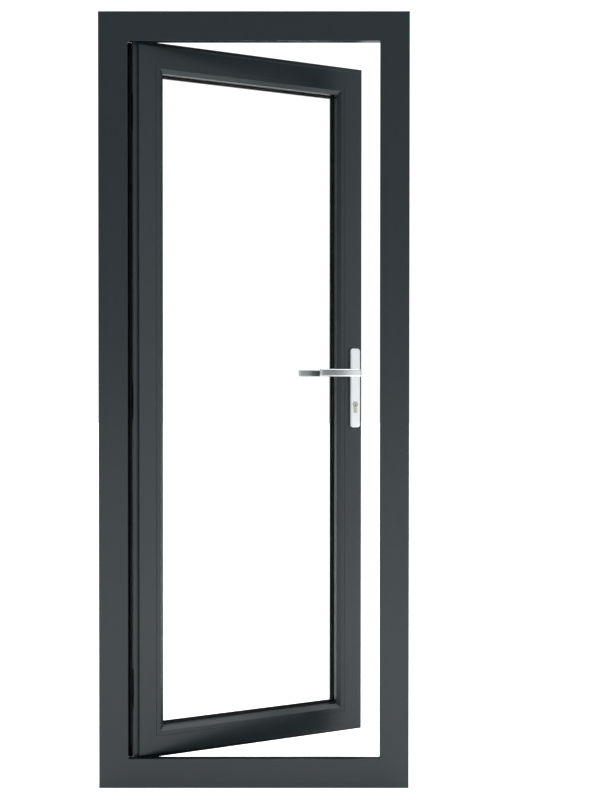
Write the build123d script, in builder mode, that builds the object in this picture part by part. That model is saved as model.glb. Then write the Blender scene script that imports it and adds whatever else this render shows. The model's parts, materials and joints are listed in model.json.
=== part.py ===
# Glazed aluminium door leaf in a four-sided frame, hung on the left and opening away.
# Millimetres. +X runs to the right, +Y away from the near side, +Z up.
# The origin is the middle of the frame's underside, half way through its depth.

import os

from build123d import *

# Frame and leaf as ordered
frame_width = 840
frame_height = 2100
profile_depth = 60
open_angle = 22.1

# Extruded sections, measured from the outer edge (across) and from the near face (deep)
face_width = 79
stop_width = 14
stop_thickness = 8
wall = 2.2
arris = 0.8
near_gap = 5
pocket_gap = 6
seal_space = 3

# Hardware groove, in the leaf's edges and in the frame's rebate
groove_width = 25
groove_depth = 3

# Glazing
stile_face = 48
bead_height = 22
bead_depth = 31
bead_bevel = 10
bead_bevel_depth = 9
bead_wall = 1.6
bead_joint = 0.4
clip_reach = 2.4
clip_thickness = 2
clip_depth = 20
glass_thickness = 8
gasket_thickness = 4
gasket_sight = 3.5
gasket_grip = 8
glass_edge_gap = 5
block_length = 100
block_corner_distance = 60

# Corner cleats
cleat_arm = 110
cleat_clearance = 0.15
cleat_wall = 6

# Stop seal
seal_head_width = 7
seal_foot_width = 6
seal_foot_depth = 2
seal_neck_width = 3
seal_neck_depth = 1.5
seal_slack = 0.1
seal_touch_gap = 0.3
seal_chamfer = 1.75

# Rebate seal on the leaf's edges, behind the hardware groove
rebate_seal_middle = 54
rebate_seal_foot = 8
rebate_seal_pad = 1.2
rebate_seal_fin = 2
rebate_seal_clearance = 0.5

# Hinges
hinge_offset = 9.5
barrel_radius = 9
knuckle_height = 49.5
knuckle_gap = 1
wing_reach = 54
wing_thickness = 7
wing_lift = 0.1
pin_radius = 6
bush_wall = 1.6
bush_running = 0.05
pin_head_height = 3
pin_head_radius = 8
pin_chamfer = 1
cap_height = 2
cap_plug_length = 2.5
cap_round = 1.2
wing_tip_round = 2.4
hinge_end_distance = 250
hinge_screw_radius = 3
hinge_screw_head = 5.6
hinge_screw_length = 22
hinge_screw_spread = 26
hinge_screw_inset = 12
thread_pilot = 0.1

# Lock
backset = 30
spindle_height = 1130
spindle_to_cylinder = 92
case_depth = 48
case_thickness = 16
case_wall = 1.5
case_above_spindle = 40
case_below_cylinder = 36
case_fit = 0.2
faceplate_width = 24
faceplate_thickness = 2.7
faceplate_overhang = 38
faceplate_fit = 0.1
plate_screw_radius = 2
plate_screw_head = 3.8
plate_screw_length = 11
latch_above_spindle = 22
latch_height = 28
latch_width = 11.5
latch_throw = 11
latch_body = 9
latch_nose = 2
latch_tail = 6
latch_hook = 4
latch_clearance = 1
bolt_above_cylinder = 37
bolt_height = 30
bolt_width = 10
bolt_throw = 20
bolt_body = 12
bolt_chamfer = 0.8
talon_depth = 5
talon_clearance = 1
bolt_running = 0.3
follower_radius = 10
follower_hub_radius = 9
follower_arm_width = 6
follower_arm_reach = 15
follower_hook_gap = 0.4
spindle_side = 8
spindle_fit = 0.05

# Cylinder
cylinder_head_radius = 8.5
cylinder_leg_width = 10
cylinder_drop = 24.5
cylinder_proud = 1.5
cylinder_clearance = 0.4
plug_radius = 6.5
plug_running = 0.05
cam_radius = 14.5
cam_width = 8
cam_gap = 0.3
cam_length = 9.6
keyway_width = 2.2
keyway_height = 8
keyway_depth = 14
cylinder_screw_radius = 2.5

# Strike plate
strike_thickness = 2.6
strike_clearance = 1.5
strike_overhang = 26

# Handles
plate_width = 32
plate_top_above_spindle = 72
plate_below_cylinder = 68
plate_thickness = 9
plate_corner = 8
plate_edge_round = 2.5
plate_shell = 2.5
neck_radius = 8
collar_radius = 11.5
collar_height = 2
bush_step = 1.5
collar_chamfer = 0.6
neck_running = 0.05
bar_projection = 45
bar_height = 22
bar_thickness = 11
bar_round = 4.5
bar_bend = 13
lever_length = 132
lever_end_round = 3
neck_straight = 12
spindle_sink = 16
grub_radius = 2
plate_bolt_radius = 2.5
plate_bolt_head = 4.6
plate_bolt_inset = 17
boss_radius = 5
neck_inset = 1

# Frame fixings
fixing_radius = 5.25
fixing_first = 150
fixing_count = 4

# Sizes that follow from the ones above
half_depth = profile_depth / 2
web_width = face_width - stop_width
leaf_width = frame_width - 2 * (web_width + pocket_gap)
leaf_height = frame_height - 2 * (web_width + pocket_gap)
leaf_bottom = web_width + pocket_gap
leaf_lip = stop_width - pocket_gap + near_gap
shoulder_depth = stop_thickness + seal_space
tube_width = leaf_lip + stile_face
sight_width = tube_width + bead_height
glass_near = bead_depth + gasket_thickness
glass_far = glass_near + glass_thickness
far_lip_depth = glass_far + gasket_thickness
lock_depth = shoulder_depth + (profile_depth - shoulder_depth) / 2
lock_y = lock_depth - half_depth
groove_near = lock_depth - groove_width / 2
groove_far = lock_depth + groove_width / 2
leaf_edge = leaf_width / 2
hinge_x = -leaf_edge - pocket_gap / 2
hinge_y = half_depth + hinge_offset
cylinder_height = spindle_height - spindle_to_cylinder
lock_x = leaf_edge - backset
case_top = spindle_height + case_above_spindle
case_bottom = cylinder_height - case_below_cylinder
case_front = leaf_edge - groove_depth
latch_height_mid = spindle_height + latch_above_spindle
bolt_height_mid = cylinder_height + bolt_above_cylinder
case_middle = (case_top + case_bottom) / 2
case_height = case_top - case_bottom
faceplate_length = case_height + 2 * faceplate_overhang
faceplate_screw_reach = (faceplate_length - faceplate_overhang) / 2
faceplate_screws_at = [
    (lock_y, case_middle - faceplate_screw_reach),
    (lock_y, case_middle + faceplate_screw_reach),
]
bush_outer = collar_radius - bush_step

# Each hinge has a lower knuckle on the jamb and an upper one on the leaf
hinge_heights = {
    "bottom": hinge_end_distance,
    "middle": frame_height / 2,
    "top": frame_height - hinge_end_distance,
}
frame_screw_column = hinge_x - (wing_reach - hinge_screw_inset)
leaf_screw_column = hinge_x + (wing_reach - hinge_screw_inset)
knuckle_middle = (knuckle_gap + knuckle_height) / 2


def screw_pair(column, middle):
    return [(column, middle - hinge_screw_spread / 2), (column, middle + hinge_screw_spread / 2)]


frame_screw_places = []
leaf_screw_places = []
for height in hinge_heights.values():
    frame_screw_places += screw_pair(frame_screw_column, height - knuckle_middle)
    leaf_screw_places += screw_pair(leaf_screw_column, height + knuckle_middle)

# Where the leaf hangs: closed sizes turned about the hinge pins by the opening angle
hinge_line = Axis((hinge_x, hinge_y, 0), (0, 0, 1))


def write_fixed(builder, name):
    """Label a piece that stays with the frame and write its file."""
    builder.part.label = name
    export_step(builder.part, f"parts/{name}.step")


def write_hung(builder, name):
    """Turn a piece drawn on the closed leaf to where the leaf stands, and write its file."""
    hung = builder.part.rotate(hinge_line, open_angle)
    hung.label = name
    export_step(hung, f"parts/{name}.step")


os.makedirs("parts", exist_ok=True)


# The four sides of a frame are one section, cut to length and mitred at both ends.
# The section is drawn for the left side, with x across from its outer edge.
def mitred_side(section, across, length):
    with BuildPart() as side:
        with BuildSketch(Plane.XY.offset(-length / 2)):
            add(section)
        extrude(amount=length)
        with BuildSketch(Plane.XZ):
            with BuildLine():
                Polyline(
                    (0, -length / 2),
                    (across, across - length / 2),
                    (across, length / 2 - across),
                    (0, length / 2),
                    close=True,
                )
            make_face()
        extrude(amount=profile_depth, both=True, mode=Mode.INTERSECT)
    return side.part


def left_side(width, middle):
    return Location((-width / 2, 0, middle))


def right_side(width, middle):
    return Location((width / 2, 0, middle), (0, 180, 0))


def top_side(top):
    return Location((0, 0, top), (0, 90, 0))


def bottom_side(bottom):
    return Location((0, 0, bottom), (0, -90, 0))


# Frame section: a hollow tube with a stop on the near side and a seal groove behind the stop
with BuildSketch() as frame_section:
    with BuildLine():
        Polyline(
            (0, -half_depth),
            (face_width, -half_depth),
            (face_width, stop_thickness - half_depth),
            (web_width, stop_thickness - half_depth),
            (web_width, groove_near - half_depth),
            (web_width - groove_depth, groove_near - half_depth),
            (web_width - groove_depth, groove_far - half_depth),
            (web_width, groove_far - half_depth),
            (web_width, half_depth),
            (0, half_depth),
            close=True,
        )
    make_face()
    fillet(frame_section.vertices().group_by(Axis.Y)[0], arris)
    fillet(frame_section.vertices().group_by(Axis.Y)[-1], arris)
    with BuildLine():
        Polyline(
            (wall, wall - half_depth),
            (web_width - wall, wall - half_depth),
            (web_width - wall, groove_near - wall - half_depth),
            (web_width - groove_depth - wall, groove_near - wall - half_depth),
            (web_width - groove_depth - wall, groove_far + wall - half_depth),
            (web_width - wall, groove_far + wall - half_depth),
            (web_width - wall, half_depth - wall),
            (wall, half_depth - wall),
            close=True,
        )
    make_face(mode=Mode.SUBTRACT)
    stop_middle = web_width + stop_width / 2
    with Locations((stop_middle, stop_thickness - half_depth)):
        Rectangle(seal_neck_width, seal_neck_depth, align=(Align.CENTER, Align.MAX), mode=Mode.SUBTRACT)
    with Locations((stop_middle, stop_thickness - seal_neck_depth - half_depth)):
        Rectangle(seal_foot_width, seal_foot_depth, align=(Align.CENTER, Align.MAX), mode=Mode.SUBTRACT)

# Leaf section: the tube, its shoulder that closes on the stop, the bead clip and the fixed glazing lip
with BuildSketch() as leaf_section:
    with BuildLine():
        Polyline(
            (leaf_lip, -half_depth),
            (tube_width, -half_depth),
            (tube_width, clip_depth - half_depth),
            (tube_width + clip_reach, clip_depth - half_depth),
            (tube_width + clip_reach, clip_depth + clip_thickness - half_depth),
            (tube_width, clip_depth + clip_thickness - half_depth),
            (tube_width, far_lip_depth - half_depth),
            (sight_width, far_lip_depth - half_depth),
            (sight_width, half_depth),
            (0, half_depth),
            (0, groove_far - half_depth),
            (groove_depth, groove_far - half_depth),
            (groove_depth, groove_near - half_depth),
            (0, groove_near - half_depth),
            (0, shoulder_depth - half_depth),
            (leaf_lip, shoulder_depth - half_depth),
            close=True,
        )
    make_face()
    fillet(leaf_section.vertices().group_by(Axis.Y)[0], arris)
    fillet(leaf_section.vertices().group_by(Axis.Y)[-1], arris)
    with BuildLine():
        Polyline(
            (leaf_lip + wall, wall - half_depth),
            (tube_width - wall, wall - half_depth),
            (tube_width - wall, half_depth - wall),
            (wall, half_depth - wall),
            (wall, groove_far + wall - half_depth),
            (groove_depth + wall, groove_far + wall - half_depth),
            (groove_depth + wall, groove_near - wall - half_depth),
            (wall, groove_near - wall - half_depth),
            (wall, shoulder_depth + wall - half_depth),
            (leaf_lip + wall, shoulder_depth + wall - half_depth),
            close=True,
        )
    make_face(mode=Mode.SUBTRACT)
    with Locations((tube_width, half_depth - wall)):
        Rectangle(
            bead_height - wall,
            profile_depth - far_lip_depth - 2 * wall,
            align=(Align.MIN, Align.MAX),
            mode=Mode.SUBTRACT,
        )

# Bead section: flush with the near face, bevelled towards the glass, hollow, notched for its clip
bead_start = tube_width + bead_joint
with BuildSketch() as bead_section:
    with BuildLine():
        Polyline(
            (bead_start, -half_depth),
            (sight_width - bead_bevel, -half_depth),
            (sight_width, bead_bevel_depth - half_depth),
            (sight_width, bead_depth - half_depth),
            (bead_start, bead_depth - half_depth),
            close=True,
        )
    make_face()
    with BuildLine():
        Polyline(
            (bead_start + bead_wall + clip_reach, bead_wall - half_depth),
            (sight_width - bead_bevel - bead_wall / 2, bead_wall - half_depth),
            (sight_width - bead_wall, bead_bevel_depth + bead_wall / 2 - half_depth),
            (sight_width - bead_wall, bead_depth - bead_wall - half_depth),
            (bead_start + bead_wall + clip_reach, bead_depth - bead_wall - half_depth),
            close=True,
        )
    make_face(mode=Mode.SUBTRACT)
    with Locations((bead_start, clip_depth + clip_thickness / 2 - half_depth)):
        Rectangle(
            clip_reach,
            clip_thickness + bead_joint,
            align=(Align.MIN, Align.CENTER),
            mode=Mode.SUBTRACT,
        )

frame_upright = mitred_side(frame_section.sketch, face_width, frame_height)
frame_cross = mitred_side(frame_section.sketch, face_width, frame_width)
leaf_upright = mitred_side(leaf_section.sketch, sight_width, leaf_height)
leaf_cross = mitred_side(leaf_section.sketch, sight_width, leaf_width)
bead_upright = mitred_side(bead_section.sketch, sight_width, leaf_height)
bead_cross = mitred_side(bead_section.sketch, sight_width, leaf_width)

fixing_spacing = (frame_height - 2 * fixing_first) / (fixing_count - 1)
fixing_heights = [fixing_first + fixing_spacing * step for step in range(fixing_count)]
fixing_places = [(lock_y, height) for height in fixing_heights]
leaf_middle = leaf_bottom + leaf_height / 2
leaf_top = leaf_bottom + leaf_height


# Frame
with BuildPart() as frame_head:
    with Locations(top_side(frame_height)):
        add(frame_cross)
write_fixed(frame_head, "frame_head")

with BuildPart() as frame_sill:
    with Locations(bottom_side(0)):
        add(frame_cross)
write_fixed(frame_sill, "frame_sill")

with BuildPart() as frame_hinge_jamb:
    with Locations(left_side(frame_width, frame_height / 2)):
        add(frame_upright)
    with BuildSketch(Plane.YZ.offset(-frame_width / 2)):
        with Locations(*fixing_places):
            Circle(fixing_radius)
    extrude(amount=face_width, mode=Mode.SUBTRACT)
    with BuildSketch(Plane.XZ.offset(-half_depth)):
        with Locations(*frame_screw_places):
            Circle(hinge_screw_radius + thread_pilot)
    extrude(amount=2 * wall, mode=Mode.SUBTRACT)
write_fixed(frame_hinge_jamb, "frame_hinge_jamb")

# Strike plate outline and the two windows that the bolts enter
strike_top = latch_height_mid + latch_height / 2 + strike_overhang
strike_bottom = bolt_height_mid - bolt_height / 2 - strike_overhang
strike_middle = (strike_top + strike_bottom) / 2
strike_length = strike_top - strike_bottom
strike_screw_spacing = strike_length - strike_overhang
strike_screws = [
    (lock_y, strike_middle - strike_screw_spacing / 2),
    (lock_y, strike_middle + strike_screw_spacing / 2),
]
rebate_x = frame_width / 2 - web_width


def strike_windows():
    with Locations((lock_y, latch_height_mid)):
        Rectangle(latch_width + 2 * strike_clearance, latch_height + 2 * strike_clearance)
    with Locations((lock_y, bolt_height_mid)):
        Rectangle(bolt_width + 2 * strike_clearance, bolt_height + 2 * strike_clearance)


with BuildPart() as frame_lock_jamb:
    with Locations(right_side(frame_width, frame_height / 2)):
        add(frame_upright)
    with BuildSketch(Plane.YZ.offset(rebate_x)):
        with Locations(*fixing_places):
            Circle(fixing_radius)
    extrude(amount=web_width, mode=Mode.SUBTRACT)
    with BuildSketch(Plane.YZ.offset(rebate_x)):
        strike_windows()
    extrude(amount=groove_depth + wall, mode=Mode.SUBTRACT)
    with BuildSketch(Plane.YZ.offset(rebate_x)):
        with Locations(*strike_screws):
            Circle(plate_screw_radius + thread_pilot)
    extrude(amount=groove_depth + wall, mode=Mode.SUBTRACT)
write_fixed(frame_lock_jamb, "frame_lock_jamb")

strike_face_x = rebate_x + groove_depth - strike_thickness
with BuildPart() as strike_plate:
    with BuildSketch(Plane.YZ.offset(strike_face_x)):
        with Locations((lock_y, strike_middle)):
            RectangleRounded(groove_width - 2 * faceplate_fit, strike_length, plate_screw_head)
        with Locations(*strike_screws):
            Circle(plate_screw_radius + thread_pilot, mode=Mode.SUBTRACT)
    extrude(amount=strike_thickness)
    with BuildSketch(Plane.YZ.offset(strike_face_x)):
        strike_windows()
    extrude(amount=strike_thickness, mode=Mode.SUBTRACT)
    with BuildSketch(Plane.YZ.offset(strike_face_x)):
        with Locations(*strike_screws):
            Circle(plate_screw_head + thread_pilot)
    extrude(amount=plate_screw_head - plate_screw_radius, taper=45, mode=Mode.SUBTRACT)
write_fixed(strike_plate, "strike_plate")


def countersunk_shape(plane, places, shank, head, length):
    """Cone and shank of countersunk screws that point along the plane's normal."""
    with BuildPart() as shape:
        with BuildSketch(plane):
            with Locations(*places):
                Circle(head)
        extrude(amount=head - shank, taper=45)
        with BuildSketch(plane):
            with Locations(*places):
                Circle(shank)
        extrude(amount=length)
    return shape.part


def countersunk_screws(plane, places, shank, head, length):
    """Countersunk screws with hexagon sockets, heads flush with the plane."""
    with BuildPart() as screws:
        add(countersunk_shape(plane, places, shank, head, length))
        with BuildSketch(plane):
            with Locations(*places):
                RegularPolygon(shank * 0.6, 6)
        extrude(amount=(head - shank) * 0.8, mode=Mode.SUBTRACT)
    return screws.part


with BuildPart() as strike_plate_screws:
    add(
        countersunk_screws(
            Plane.YZ.offset(strike_face_x),
            strike_screws,
            plate_screw_radius,
            plate_screw_head,
            plate_screw_length,
        )
    )
write_fixed(strike_plate_screws, "strike_plate_screws")


# Corner cleats: an L of box section pushed into the chambers of two mitred sides
def corner_cleats(width, height, bottom, edge, inner, near, far):
    thickness = far - near - 2 * cleat_clearance
    outer_line = edge + wall + cleat_clearance
    inner_line = inner - wall - cleat_clearance
    corner_x = width / 2 - outer_line
    corner_z = height / 2 - outer_line
    with BuildPart() as cleats:
        with BuildSketch(Plane.XZ.offset(-(near + cleat_clearance - half_depth))):
            with BuildLine():
                arm = cleat_arm
                across = inner_line - outer_line
                Polyline(
                    (corner_x, corner_z),
                    (corner_x - arm, corner_z),
                    (corner_x - arm, corner_z - across),
                    (corner_x - across, corner_z - across),
                    (corner_x - across, corner_z - arm),
                    (corner_x, corner_z - arm),
                    close=True,
                )
            make_face()
            with BuildLine():
                Polyline(
                    (corner_x - cleat_wall, corner_z - arm + cleat_wall),
                    (corner_x - across + cleat_wall, corner_z - arm + cleat_wall),
                    (corner_x - across + cleat_wall, corner_z - across - cleat_wall),
                    (corner_x - cleat_wall, corner_z - across + cleat_wall),
                    close=True,
                )
            make_face(mode=Mode.SUBTRACT)
            with BuildLine():
                Polyline(
                    (corner_x - arm + cleat_wall, corner_z - cleat_wall),
                    (corner_x - arm + cleat_wall, corner_z - across + cleat_wall),
                    (corner_x - across - cleat_wall, corner_z - across + cleat_wall),
                    (corner_x - across + cleat_wall, corner_z - cleat_wall),
                    close=True,
                )
            make_face(mode=Mode.SUBTRACT)
            mirror(about=Plane.YZ)
            mirror(about=Plane.XZ)
        extrude(amount=-thickness)
    return cleats.part.moved(Location((0, 0, bottom + height / 2)))


with BuildPart() as frame_corner_cleats:
    add(
        corner_cleats(
            frame_width,
            frame_height,
            0,
            0,
            web_width - groove_depth,
            wall,
            profile_depth - wall,
        )
    )
write_fixed(frame_corner_cleats, "frame_corner_cleats")

with BuildPart() as leaf_corner_cleats:
    add(
        corner_cleats(
            leaf_width,
            leaf_height,
            leaf_bottom,
            groove_depth,
            tube_width,
            shoulder_depth + wall,
            profile_depth - wall,
        )
    )
write_hung(leaf_corner_cleats, "leaf_corner_cleats")


# Rings of seal and gasket: a band between two rectangles, given by distance from the outer edge
def ring(width, height, outer, inner, start, amount):
    with BuildPart() as band:
        with BuildSketch(Plane.XZ.offset(half_depth - start)):
            Rectangle(width - 2 * outer, height - 2 * outer)
            Rectangle(width - 2 * inner, height - 2 * inner, mode=Mode.SUBTRACT)
        extrude(amount=-amount)
    return band.part


with BuildPart() as stop_seal:
    foot_half = seal_foot_width / 2 - seal_slack
    neck_half = seal_neck_width / 2 - seal_slack
    head_half = seal_head_width / 2
    seal_top = shoulder_depth - seal_touch_gap
    foot_start = stop_thickness - seal_neck_depth - seal_foot_depth + seal_slack
    foot_height = seal_foot_depth - 2 * seal_slack
    seal_sections = (
        (foot_half, foot_start, foot_height),
        (neck_half, foot_start + foot_height, stop_thickness - foot_start - foot_height),
        (head_half, stop_thickness, seal_top - stop_thickness),
    )
    for half, start, amount in seal_sections:
        with Locations((0, 0, frame_height / 2)):
            add(ring(frame_width, frame_height, stop_middle - half, stop_middle + half, start, amount))
    chamfer(stop_seal.edges().group_by(Axis.Y)[-1], seal_chamfer)
write_fixed(stop_seal, "stop_seal")

with BuildPart() as rebate_seal:
    with Locations((0, 0, leaf_middle)):
        for reach, width in (
            (rebate_seal_pad, rebate_seal_foot),
            (pocket_gap - rebate_seal_clearance, rebate_seal_fin),
        ):
            add(ring(leaf_width, leaf_height, -reach, 0, rebate_seal_middle - width / 2, width))
write_hung(rebate_seal, "rebate_seal")

# Leaf sides
with BuildPart() as leaf_hinge_stile:
    with Locations(left_side(leaf_width, leaf_middle)):
        add(leaf_upright)
    with BuildSketch(Plane.XZ.offset(-half_depth)):
        with Locations(*leaf_screw_places):
            Circle(hinge_screw_radius + thread_pilot)
    extrude(amount=2 * wall, mode=Mode.SUBTRACT)
write_hung(leaf_hinge_stile, "leaf_hinge_stile")

with BuildPart() as leaf_top_rail:
    with Locations(top_side(leaf_top)):
        add(leaf_cross)
write_hung(leaf_top_rail, "leaf_top_rail")

with BuildPart() as leaf_bottom_rail:
    with Locations(bottom_side(leaf_bottom)):
        add(leaf_cross)
write_hung(leaf_bottom_rail, "leaf_bottom_rail")

plate_top = spindle_height + plate_top_above_spindle
plate_bottom = cylinder_height - plate_below_cylinder
plate_height = plate_top - plate_bottom
plate_middle = (plate_top + plate_bottom) / 2
plate_bolts_at = [(lock_x, plate_top - plate_bolt_inset), (lock_x, plate_bottom + plate_bolt_inset)]


def cylinder_outline(extra):
    """The round head and hanging leg of a profile cylinder, made larger all round by extra."""
    with Locations((lock_x, cylinder_height)):
        Circle(cylinder_head_radius + extra)
    with Locations((lock_x, cylinder_height - cylinder_drop / 2)):
        Rectangle(cylinder_leg_width + 2 * extra, cylinder_drop + 2 * extra)


with BuildPart() as leaf_lock_stile:
    with Locations(right_side(leaf_width, leaf_middle)):
        add(leaf_upright)
    with BuildSketch(Plane.XZ.offset(-profile_depth)):
        with Locations((lock_x, spindle_height)):
            Circle(neck_radius + cylinder_clearance)
        with Locations(*plate_bolts_at):
            Circle(boss_radius + cylinder_clearance)
        cylinder_outline(cylinder_clearance)
    extrude(amount=2 * profile_depth, mode=Mode.SUBTRACT)
    with BuildSketch(Plane.YZ.offset(case_front - wall - case_fit)):
        with Locations((lock_y, case_middle)):
            Rectangle(case_thickness + 2 * case_fit, case_height + 2 * case_fit)
        with Locations(*faceplate_screws_at):
            Circle(plate_screw_radius + thread_pilot)
    extrude(amount=2 * wall, mode=Mode.SUBTRACT)
write_hung(leaf_lock_stile, "leaf_lock_stile")

# Glazing
glass_edge = tube_width + glass_edge_gap
with BuildPart() as glass_pane:
    with BuildSketch(Plane.XZ.offset(half_depth - glass_near)):
        with Locations((0, leaf_middle)):
            Rectangle(leaf_width - 2 * glass_edge, leaf_height - 2 * glass_edge)
    extrude(amount=-glass_thickness)
write_hung(glass_pane, "glass_pane")

gasket_inner = sight_width + gasket_sight
gasket_outer = sight_width - gasket_grip
with BuildPart() as bead_gasket:
    with Locations((0, 0, leaf_middle)):
        add(ring(leaf_width, leaf_height, gasket_outer, gasket_inner, bead_depth, gasket_thickness))
write_hung(bead_gasket, "bead_gasket")

with BuildPart() as lip_gasket:
    with Locations((0, 0, leaf_middle)):
        add(ring(leaf_width, leaf_height, gasket_outer, gasket_inner, glass_far, gasket_thickness))
write_hung(lip_gasket, "lip_gasket")

for bead_name, bead_piece, bead_place in (
    ("glazing_bead_top", bead_cross, top_side(leaf_top)),
    ("glazing_bead_bottom", bead_cross, bottom_side(leaf_bottom)),
    ("glazing_bead_hinge_side", bead_upright, left_side(leaf_width, leaf_middle)),
    ("glazing_bead_lock_side", bead_upright, right_side(leaf_width, leaf_middle)),
):
    with BuildPart() as glazing_bead:
        with Locations(bead_place):
            add(bead_piece)
    write_hung(glazing_bead, bead_name)

block_x = leaf_width / 2 - glass_edge - block_corner_distance - block_length / 2
block_low = leaf_bottom + tube_width
block_high = leaf_top - tube_width
with BuildPart() as setting_blocks:
    with BuildSketch(Plane.XZ.offset(half_depth - glass_near)):
        for side in (-1, 1):
            with Locations((side * block_x, block_low)):
                Rectangle(block_length, glass_edge_gap, align=(Align.CENTER, Align.MIN))
            with Locations((side * block_x, block_high)):
                Rectangle(block_length, glass_edge_gap, align=(Align.CENTER, Align.MAX))
    extrude(amount=-glass_thickness)
write_hung(setting_blocks, "setting_blocks")


# Hinges: the lower knuckle and its pin stay on the jamb, the upper one lifts off with the leaf
def wing_outline(direction):
    """Barrel and wing seen from above, drawn about the pin; direction is -1 left or 1 right."""
    Circle(barrel_radius)
    with Locations((direction * wing_reach / 2, wing_lift + wing_thickness / 2 - hinge_offset)):
        Rectangle(wing_reach, wing_thickness)


def hinge_half(direction, bottom, bore):
    hinge_top_view = Plane(origin=(hinge_x, hinge_y, bottom), z_dir=(0, 0, 1))
    with BuildPart() as half:
        with BuildSketch(hinge_top_view):
            wing_outline(direction)
        extrude(amount=knuckle_height)
        tips = half.edges().filter_by(Axis.Z).group_by(Axis.X)[-1 if direction > 0 else 0]
        fillet(tips, wing_tip_round)
        with BuildSketch(hinge_top_view):
            Circle(bore)
        extrude(amount=knuckle_height, mode=Mode.SUBTRACT)
    return half.part


screw_face_y = hinge_y + wing_lift + wing_thickness - hinge_offset
# A plane on the wings' outer face whose normal points into the door, with x to the right
screw_plane = Plane(origin=(0, screw_face_y, 0), x_dir=(1, 0, 0), z_dir=(0, -1, 0))
bush_radius = pin_radius + bush_running + bush_wall

hinge_screw_sizes = (hinge_screw_radius, hinge_screw_head, hinge_screw_length)
frame_screw_holes = countersunk_shape(screw_plane, frame_screw_places, *hinge_screw_sizes)
leaf_screw_holes = countersunk_shape(screw_plane, leaf_screw_places, *hinge_screw_sizes)

for hinge_name, hinge_middle in hinge_heights.items():
    lower = hinge_middle - knuckle_gap / 2 - knuckle_height
    upper = hinge_middle + knuckle_gap / 2

    with BuildPart() as frame_knuckle:
        add(hinge_half(-1, lower, pin_radius))
        add(frame_screw_holes, mode=Mode.SUBTRACT)
    write_fixed(frame_knuckle, f"hinge_{hinge_name}_frame_knuckle")

    with BuildPart() as leaf_knuckle:
        add(hinge_half(1, upper, bush_radius))
        add(leaf_screw_holes, mode=Mode.SUBTRACT)
    write_hung(leaf_knuckle, f"hinge_{hinge_name}_leaf_knuckle")

    with BuildPart() as hinge_pin:
        with BuildSketch(Plane(origin=(hinge_x, hinge_y, lower), z_dir=(0, 0, 1))):
            Circle(pin_radius)
        extrude(amount=2 * knuckle_height + knuckle_gap - pin_head_height)
        with BuildSketch(Plane(origin=(hinge_x, hinge_y, lower), z_dir=(0, 0, 1))):
            Circle(pin_head_radius)
        extrude(amount=-pin_head_height)
        chamfer(hinge_pin.edges().group_by(Axis.Z)[-1], pin_chamfer)
        chamfer(hinge_pin.edges().group_by(Axis.Z)[0], pin_chamfer)
    write_fixed(hinge_pin, f"hinge_{hinge_name}_pin")

    with BuildPart() as hinge_bush:
        with BuildSketch(Plane(origin=(hinge_x, hinge_y, upper), z_dir=(0, 0, 1))):
            Circle(bush_radius)
            Circle(pin_radius + bush_running, mode=Mode.SUBTRACT)
        extrude(amount=knuckle_height)
        with BuildSketch(Plane(origin=(hinge_x, hinge_y, upper), z_dir=(0, 0, 1))):
            Circle(barrel_radius)
            Circle(pin_radius + bush_running, mode=Mode.SUBTRACT)
        extrude(amount=-knuckle_gap)
    write_hung(hinge_bush, f"hinge_{hinge_name}_bush")

with BuildPart() as hinge_caps:
    for hinge_middle in hinge_heights.values():
        cap_seat = Plane(
            origin=(hinge_x, hinge_y, hinge_middle + knuckle_gap / 2 + knuckle_height),
            z_dir=(0, 0, 1),
        )
        with BuildSketch(cap_seat):
            Circle(pin_radius)
        extrude(amount=-cap_plug_length)
        with BuildSketch(cap_seat):
            Circle(barrel_radius)
        extrude(amount=cap_height)
        fillet(hinge_caps.edges().group_by(Axis.Z)[-1], cap_round)
write_hung(hinge_caps, "hinge_caps")

with BuildPart() as hinge_frame_screws:
    add(countersunk_screws(screw_plane, frame_screw_places, *hinge_screw_sizes))
write_fixed(hinge_frame_screws, "hinge_frame_screws")

with BuildPart() as hinge_leaf_screws:
    add(countersunk_screws(screw_plane, leaf_screw_places, *hinge_screw_sizes))
write_hung(hinge_leaf_screws, "hinge_leaf_screws")


# Lock: a flat case in the stile behind its faceplate
case_middle_x = case_front - case_depth / 2
case_near = lock_depth - case_thickness / 2 - half_depth
case_far = case_near + case_thickness
cylinder_screw_height = cylinder_height - (cam_radius + cam_gap + cylinder_drop) / 2


def bolt_windows():
    """Windows in the lock's front, with running room round the latch and the deadbolt."""
    with Locations((lock_y, latch_height_mid)):
        Rectangle(latch_width + 2 * bolt_running, latch_height + 2 * bolt_running)
    with Locations((lock_y, bolt_height_mid)):
        Rectangle(bolt_width + 2 * bolt_running, bolt_height + 2 * bolt_running)
    with Locations((lock_y, cylinder_screw_height)):
        Circle(cylinder_screw_radius + thread_pilot)


def case_side_holes():
    """Holes in either side of the lock case: the follower's seat and the cylinder's outline."""
    with Locations((lock_x, spindle_height)):
        Circle(follower_hub_radius + neck_running)
    cylinder_outline(cylinder_clearance)


with BuildPart() as lock_case:
    with BuildSketch(Plane.XZ.offset(-case_near)):
        with Locations((case_middle_x, case_middle)):
            Rectangle(case_depth, case_height)
        case_side_holes()
    extrude(amount=-case_wall)
    with BuildSketch(Plane.XZ.offset(-case_near)):
        with Locations((case_middle_x, case_middle)):
            Rectangle(case_depth, case_height)
            Rectangle(case_depth - 2 * case_wall, case_height - 2 * case_wall, mode=Mode.SUBTRACT)
    extrude(amount=-(case_thickness - case_wall))
    with BuildSketch(Plane.XZ.offset(-case_near)):
        case_side_holes()
    extrude(amount=-case_wall, mode=Mode.SUBTRACT)
    with BuildSketch(Plane.YZ.offset(case_front)):
        bolt_windows()
    extrude(amount=-case_wall, mode=Mode.SUBTRACT)
write_hung(lock_case, "lock_case")

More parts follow.
